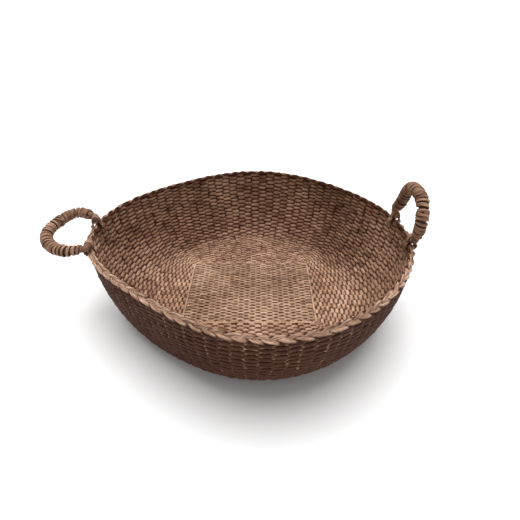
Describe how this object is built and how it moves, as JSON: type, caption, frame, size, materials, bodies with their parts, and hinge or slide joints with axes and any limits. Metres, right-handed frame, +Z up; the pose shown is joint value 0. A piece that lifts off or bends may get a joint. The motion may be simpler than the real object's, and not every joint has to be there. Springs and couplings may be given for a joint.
{
  "type": "seagrass storage basket",
  "caption": "Shallow oval bowl basket woven from seagrass on stakes, with a plaited rim and a hinged, wrapped loop handle at each end.",
  "frame": {"origin": "middle of the base's underside, on the surface that the basket stands on", "axes": "+Z up out of the bowl, +X from the left handle to the right handle, +Y towards the back"},
  "size_m": [0.5602, 0.4538, 0.2182],
  "materials": {
    "seagrass_weave": "matte",
    "seagrass_plait": "matte",
    "seagrass_wrap": "matte",
    "seagrass_lashing": "matte",
    "cane": "matte"
  },
  "bodies": {
    "root": {"panel_weft": "seagrass_weave", "panel_edge_cord": "seagrass_weave", "floor_weft": "seagrass_weave", "wall_weft": "seagrass_weave", "long_stakes": "cane", "cross_stakes": "cane", "corner_stakes": "cane", "rim_strand_inner": "seagrass_plait", "rim_strand_outer": "seagrass_plait", "rim_strand_top": "seagrass_plait", "left_front_lashing": "seagrass_lashing", "left_back_lashing": "seagrass_lashing", "right_front_lashing": "seagrass_lashing", "right_back_lashing": "seagrass_lashing"},
    "left_handle": {"left_handle_core": "cane", "left_handle_wrap": "seagrass_wrap"},
    "right_handle": {"right_handle_core": "cane", "right_handle_wrap": "seagrass_wrap"}
  },
  "joints": [
    {"name": "left_handle_hinge", "type": "hinge", "parent": "root", "child": "left_handle", "pos_m": [-0.2346, -0.02, 0.14169], "axis": [0.2059, -0.9786, 0], "range_deg": [-127, 18]},
    {"name": "right_handle_hinge", "type": "hinge", "parent": "root", "child": "right_handle", "pos_m": [0.23854, -0.004, 0.14169], "axis": [-0.0306, 0.9995, 0], "range_deg": [-35, 110]}
  ]
}
